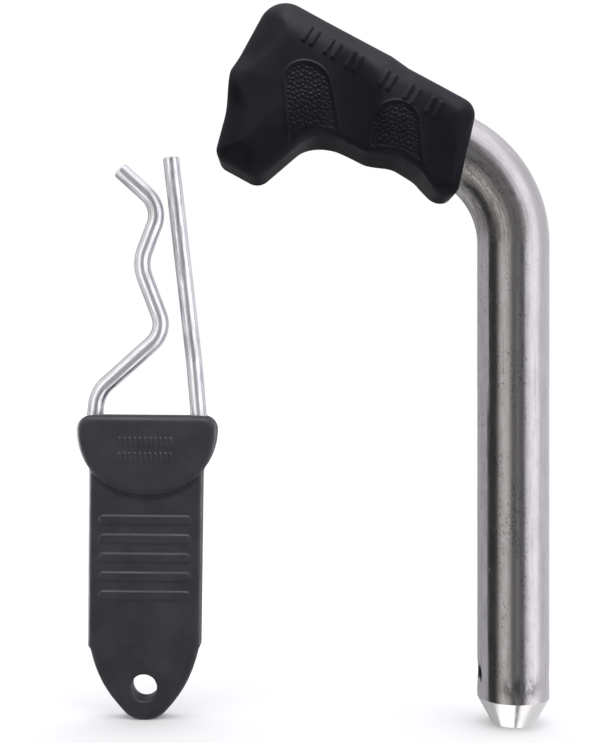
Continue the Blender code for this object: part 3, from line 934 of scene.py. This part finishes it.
def grip_relief(x, y, z):
    """The relief on the grip's faces, and which points lie near it."""
    u, v = handle_coordinates(x, z)
    edge = outline_distance(GRIP_OUTLINE, u, v)
    on_face = smoothstep(*GRIP_FACE_SPAN, np.abs(y))
    height = np.zeros_like(x)
    near = np.zeros(x.shape, bool)
    for pad in PADS:
        sides = pad_distance(pad, x, z)
        inside = np.maximum(sides, edge + PAD_LOWER_MARGIN)
        share = smoothstep(*PAD_EDGE_SPAN, inside)
        height += share * (PEBBLE_HEIGHT * pebbles(x, z) - PAD_RECESS)
        rim = smoothstep(PAD_RIM_REACH, 0.0, np.abs(sides - PAD_RIM_WIDTH))
        height += rim * PAD_RIM_HEIGHT * smoothstep(*PAD_LOWER_SPAN, edge + PAD_LOWER_MARGIN)
        near |= inside < PAD_FINE_MARGIN
    for place in MARK_PLACES:
        for side in (-1, 1):
            middle = (place + side * MARK_SPREAD, MARK_HEIGHT)
            bar = bar_distance(u, v, middle, MARK_HALF_LENGTH)
            height += MARK_RELIEF * smoothstep(*MARK_EDGE_SPAN, bar)
            near |= bar < MARK_FINE_MARGIN
    return height * on_face, near & (np.abs(y) > GRIP_FACE_SPAN[0])


def build_pin_grip():
    """The moulded grip, with finger valleys, pebbled pads and raised marks."""
    low, high = (np.array(corner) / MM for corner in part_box("pin_grip"))
    grip = moulded_piece("pin_grip_fine", grip_field, grip_relief, low - GRIP_NET_MARGINS[0],
                         high + GRIP_NET_MARGINS[1], GRIP_CELL, GRIP_RUBBER)
    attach(grip, "pin")
    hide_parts("pin_grip")
    return grip


# ---------------------------------------------------------------- the clip

def rounded_wire(name, route):
    """The clip's wire along a route in the clip's frame, with its last end slightly rounded."""
    distances = even_distances(route, WIRE_STEP)
    length = distances[-1]
    turns = np.linspace(0.0, math.pi / 2, WIRE_END_RINGS)
    rounding = length - WIRE_END_ROUND * (1 - np.sin(turns))
    before = distances[distances < length - WIRE_END_ROUND - WIRE_END_GAP]
    distances = np.concatenate([before, rounding])
    radii = np.full(len(distances), WIRE_RADIUS)
    radii[-WIRE_END_RINGS:] -= WIRE_END_ROUND * (1 - np.cos(turns))
    wire = swept_rod(name, places_along(route, distances), distances, radii, WIRE_SIDES, ZINC)
    wire.data.transform(Matrix.Translation((CLIP_X * MM, CLIP_Y * MM, 0.0)))
    wire.data.set_sharp_from_angle(angle=WIRE_SHARP_ANGLE)
    return wire


def build_clip_wire():
    """The bow inside the tab and the straight leg."""
    centre = Vector((BOW_CENTRE_X, BOW_HEIGHT))
    angles = [math.radians(a) for a in range(-180, 0, BOW_STEP_DEGREES)]
    bow = [centre + BOW_RADIUS * Vector((math.cos(a), math.sin(a))) for a in angles]
    wire = rounded_wire("clip_wire_fine", bow + rounded_route(STRAIGHT_LEG))
    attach(wire, "clip")
    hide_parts("clip_wire")
    return wire


def build_spring_leg():
    """The bent leg, which starts inside the tab at its foot and bends out of it above, baked in
    place.
    """
    leg = rounded_wire("clip_spring_leg_fine", rounded_route(SPRING_LEG))
    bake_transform(leg)
    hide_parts("clip_spring_leg")
    return leg


def tab_field(x, y, z):
    """The pull tab's solid: a thin strap, a thicker D-shaped head and the lanyard's hole."""
    strap = rounded_slab(outline_distance(TAB_OUTLINE, x, z), np.abs(y) - TAB_HALF_THICKNESS,
                         TAB_EDGE_ROUND)
    head = rounded_slab(outline_distance(HEAD_OUTLINE, x, z), np.abs(y) - HEAD_HALF_THICKNESS,
                        HEAD_EDGE_ROUND)
    hole = LANYARD_HOLE_RADIUS - np.hypot(x, z - LANYARD_HOLE_HEIGHT)
    return smooth_max(smooth_min(strap, head, HEAD_CREASE), hole, LANYARD_HOLE_EDGE)


def tab_relief(x, y, z):
    """Plain grip ribs on the strap and small bars on the head, and which points lie near them."""
    height = np.zeros_like(x)
    near = np.abs(outline_distance(HEAD_OUTLINE, x, z)) < HEAD_CREASE
    for middle in RIB_HEIGHTS:
        rib = np.hypot(np.maximum(np.abs(x) - RIB_HALF_LENGTH, 0.0), z - middle)
        height += RIB_RELIEF * smoothstep(*RIB_EDGE_SPAN, rib)
        near |= rib < RIB_FINE_MARGIN
    for middle in BAR_ROW_HEIGHTS:
        for place in BAR_PLACES:
            past_end = np.maximum(np.abs(z - middle) - BAR_HALF_LENGTH, 0.0)
            bar = np.hypot(x - place, past_end)
            height += BAR_RELIEF * smoothstep(*BAR_EDGE_SPAN, bar)
            near |= bar < BAR_FINE_MARGIN
    on_face = smoothstep(*TAB_FACE_SPAN, np.abs(y))
    return height * on_face, near & (np.abs(y) > np.mean(TAB_FACE_SPAN))


def build_clip_tab():
    """The moulded pull tab, leaning a little against the wire."""
    tab = moulded_piece("clip_tab_fine", tab_field, tab_relief, TAB_NET_LOW, TAB_NET_HIGH,
                        TAB_CELL, TAB_RUBBER)
    place = Matrix.Translation(((CLIP_X + TAB_OFFSET) * MM, CLIP_Y * MM, 0.0))
    tab.data.transform(place @ Matrix.Rotation(TAB_LEAN, 4, "Y"))
    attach(tab, "clip")
    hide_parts("clip_tab")
    return tab


# ---------------------------------------------------------------- stage, light and camera

FLOOR_REACH = 6.0
FLOOR_WHITE = (0.90, 0.90, 0.90)
FLOOR_SHADE = (0.88, 0.88, 0.885)
FLOOR_GLOW = 0.12
FLOOR_ROUGHNESS = 0.9
FLOOR_CLOUDS = (3.0, 3.0)
FLOOR_CLOUD_LEVELS = (0.3, 0.7)
FLOOR_CELLS = 8


def build_floor():
    """A plain pale floor, which stays out of the steel's reflections."""
    form = bmesh.new()
    bmesh.ops.create_grid(form, x_segments=FLOOR_CELLS, y_segments=FLOOR_CELLS,
                          size=FLOOR_REACH)
    mesh = bpy.data.meshes.new("floor")
    form.to_mesh(mesh)
    form.free()
    floor = bpy.data.objects.new("floor", mesh)
    bpy.context.scene.collection.objects.link(floor)
    s = Shading.of_material("pale_floor", FLOOR_WHITE, FLOOR_ROUGHNESS, 0.0)
    cloud = s.ramp(s.noise(s.object_place(), *FLOOR_CLOUDS), *FLOOR_CLOUD_LEVELS)
    s.shader.inputs["Emission Color"].default_value = (1.0, 1.0, 1.0, 1.0)
    s.shader.inputs["Emission Strength"].default_value = FLOOR_GLOW
    floor.data.materials.append(s.finish(Base_Color=s.mix(cloud, FLOOR_WHITE, FLOOR_SHADE)))
    floor.visible_glossy = False


# The studio's light, as soft boxes round the horizon: the middle of each one in degrees (0 to
# the front, 90 to the right), half its width, how far its edge fades, and its brightness.
SOFT_BOXES = (
    (-39, 5, 24, 0.58),
    (-3, 20, 8, 0.10),
    (4, 1, 5, 0.09),
    (60, 6, 26, 0.48),
    (98, 64, 14, 0.71),
    (-135, 34, 7, 0.44),
)
ROOM_BRIGHTNESS = 0.05

# The ceiling and the bright ground under the pin's tip: where they fade in, by the direction's
# height, and their brightness. The ceiling is stronger for matt surfaces than in reflections.
CEILING_SPAN = (0.50, 0.90)
CEILING_BRIGHTNESS = 2.0
CEILING_REFLECTION = 1.15
GROUND_SPAN = (-0.80, -0.86)
GROUND_BRIGHTNESS = 1.3
GROUND_GAP_START_SPAN = (0.01, 0.05)
GROUND_GAP_END_SPAN = (0.19, 0.23)
GROUND_RIGHT_SPAN = (0.36, 0.42)

# The light is warm round the middle of the first soft box, and cool elsewhere.
WARM_MIDDLE = -39
WARM_REACHES = (10, 50)
WARM_LIGHT = (1.015, 0.982, 0.95)
COOL_LIGHT = (0.985, 0.968, 1.015)

# Soft boxes that light only some pieces: place and size in metres, and power in watts.
GRIP_KEY = {"place": (-0.02, -0.20, 0.60), "size": 0.35, "power": 4.9}
TAB_KEY = {"place": (-0.06, -0.36, 0.55), "size": 0.22, "power": 3.7}
WIRE_LIGHTS = {
    "wire_front": {"place": (-0.05, -0.75, 0.10), "size": 1.3, "power": 0.8, "height": 1.0},
    "wire_left": {"place": (-0.60, -0.20, 0.10), "size": 1.0, "power": 2.2},
    "wire_right": {"place": (0.45, -0.20, 0.10), "size": 1.0, "power": 1.2},
}
TAB_EDGE_LIGHTS = {
    "tab_left": {"place": (-0.45, 0.10, 0.06), "size": 0.3, "power": 4.4},
    "tab_right": {"place": (0.30, 0.10, 0.06), "size": 0.3, "power": 2.1},
}
LIGHT_AIM = (CLIP_X * MM, 0.0, 0.08)

CAMERA_PLACE = (-0.04879, -0.275, 0.0784)
CAMERA_LENS = 59.6
CAMERA_SENSOR_WIDTH = 36.0
CAMERA_CLIP = (0.01, 50.0)


def soft_boxes(s, azimuth):
    """The brightness of the room and its soft boxes in each direction round the horizon."""
    total = ROOM_BRIGHTNESS
    for middle, half, fade, brightness in SOFT_BOXES:
        offset = s.math("SUBTRACT", azimuth, math.radians(middle))
        wrapped = s.add("ShaderNodeMath", {0: offset, 1: -math.pi, 2: math.pi}, operation="WRAP")
        away = s.math("ABSOLUTE", wrapped.outputs[0])
        box = s.ramp(away, math.radians(half), math.radians(half + fade), brightness, 0.0)
        total = s.math("ADD", box, total)
    return total


def lit_ground(s, x, z):
    """How much of each direction sees the ground, apart from a dark gap and the right side."""
    gap = s.math("MULTIPLY", s.ramp(x, *GROUND_GAP_START_SPAN),
                 s.ramp(x, *GROUND_GAP_END_SPAN, 1.0, 0.0))
    below = s.math("MULTIPLY", s.ramp(z, *GROUND_SPAN), s.math("SUBTRACT", 1.0, gap))
    return s.math("MULTIPLY", below, s.ramp(x, *GROUND_RIGHT_SPAN, 1.0, 0.0))


def build_world():
    """The studio, which only the object sees. The camera sees plain white behind it."""
    world = bpy.data.worlds.new("studio")
    world.use_nodes = True
    bpy.context.scene.world = world
    s = Shading(world.node_tree)
    s.tree.nodes.clear()
    direction = s.add("ShaderNodeTexCoord").outputs["Generated"]
    x, y, z = s.add("ShaderNodeSeparateXYZ", {0: direction}).outputs
    azimuth = s.math("ARCTAN2", x, s.math("MULTIPLY", y, -1.0))
    path = s.add("ShaderNodeLightPath").outputs

    ceiling = s.ramp(path["Is Diffuse Ray"], 0.0, 1.0, CEILING_REFLECTION, CEILING_BRIGHTNESS)
    level = s.blend(s.ramp(z, *CEILING_SPAN), soft_boxes(s, azimuth), ceiling)
    level = s.blend(lit_ground(s, x, z), level, GROUND_BRIGHTNESS)
    from_warm = s.math("ABSOLUTE", s.math("SUBTRACT", azimuth, math.radians(WARM_MIDDLE)))
    warm = s.ramp(from_warm, *(math.radians(reach) for reach in WARM_REACHES), 1.0, 0.0)
    tint = s.mix(warm, COOL_LIGHT, WARM_LIGHT)

    light = s.add("ShaderNodeBackground", {"Color": tint, "Strength": level}).outputs[0]
    backdrop = s.add("ShaderNodeBackground", {"Color": (1.0, 1.0, 1.0, 1.0)}).outputs[0]
    both = s.add("ShaderNodeMixShader", {0: path["Is Camera Ray"], 1: light, 2: backdrop})
    s.add("ShaderNodeOutputWorld", {"Surface": both.outputs[0]})


def soft_light(name, pieces, shadows, place, size, power, height=None):
    """A soft box aimed at the clip, which lights only some pieces, with or without shadows."""
    data = bpy.data.lights.new(name, "AREA")
    data.shape = "RECTANGLE"
    data.size = size
    data.size_y = height or size
    data.energy = power
    light = bpy.data.objects.new(name, data)
    light.location = place
    aim = Vector(LIGHT_AIM) - light.location
    light.rotation_euler = aim.to_track_quat("-Z", "Y").to_euler()
    light.visible_camera = False
    bpy.context.scene.collection.objects.link(light)
    lit = bpy.data.collections.new(name + "_lit")
    for piece in pieces:
        lit.objects.link(piece)
    light.light_linking.receiver_collection = lit
    if not shadows:
        light.light_linking.blocker_collection = bpy.data.collections.new(name + "_blockers")


def build_lights(wires, grip, tab):
    """The keys of the two rubber pieces, and soft fill for the wires and the tab's edges."""
    soft_light("grip_key", [grip], True, **GRIP_KEY)
    soft_light("tab_key", [tab], True, **TAB_KEY)
    for name, settings in WIRE_LIGHTS.items():
        soft_light(name, wires, False, **settings)
    for name, settings in TAB_EDGE_LIGHTS.items():
        soft_light(name, [tab], False, **settings)


def build_camera():
    """A level camera straight in front of the object."""
    data = bpy.data.cameras.new("camera")
    data.lens = CAMERA_LENS
    data.sensor_width = CAMERA_SENSOR_WIDTH
    data.clip_start, data.clip_end = CAMERA_CLIP
    camera = bpy.data.objects.new("camera", data)
    camera.location = CAMERA_PLACE
    camera.rotation_euler = (math.radians(90), 0, 0)
    bpy.context.scene.collection.objects.link(camera)
    bpy.context.scene.camera = camera
    bpy.context.scene.view_settings.view_transform = "Standard"


STEEL = steel_material()
ZINC = zinc_material()
GRIP_RUBBER = rubber_material("grip_rubber", **GRIP_LOOK)
TAB_RUBBER = rubber_material("tab_rubber", **TAB_LOOK)
GRIP_OUTLINE = closed_outline(GRIP_CORNERS)
TAB_OUTLINE = closed_outline(TAB_CORNERS)
HEAD_OUTLINE = closed_outline(HEAD_CORNERS)

build_camera()
build_world()
build_floor()
build_pin_shank()
grip = build_pin_grip()
wires = [build_clip_wire(), build_spring_leg()]
tab = build_clip_tab()
grip.visible_glossy = False
build_lights(wires, grip, tab)
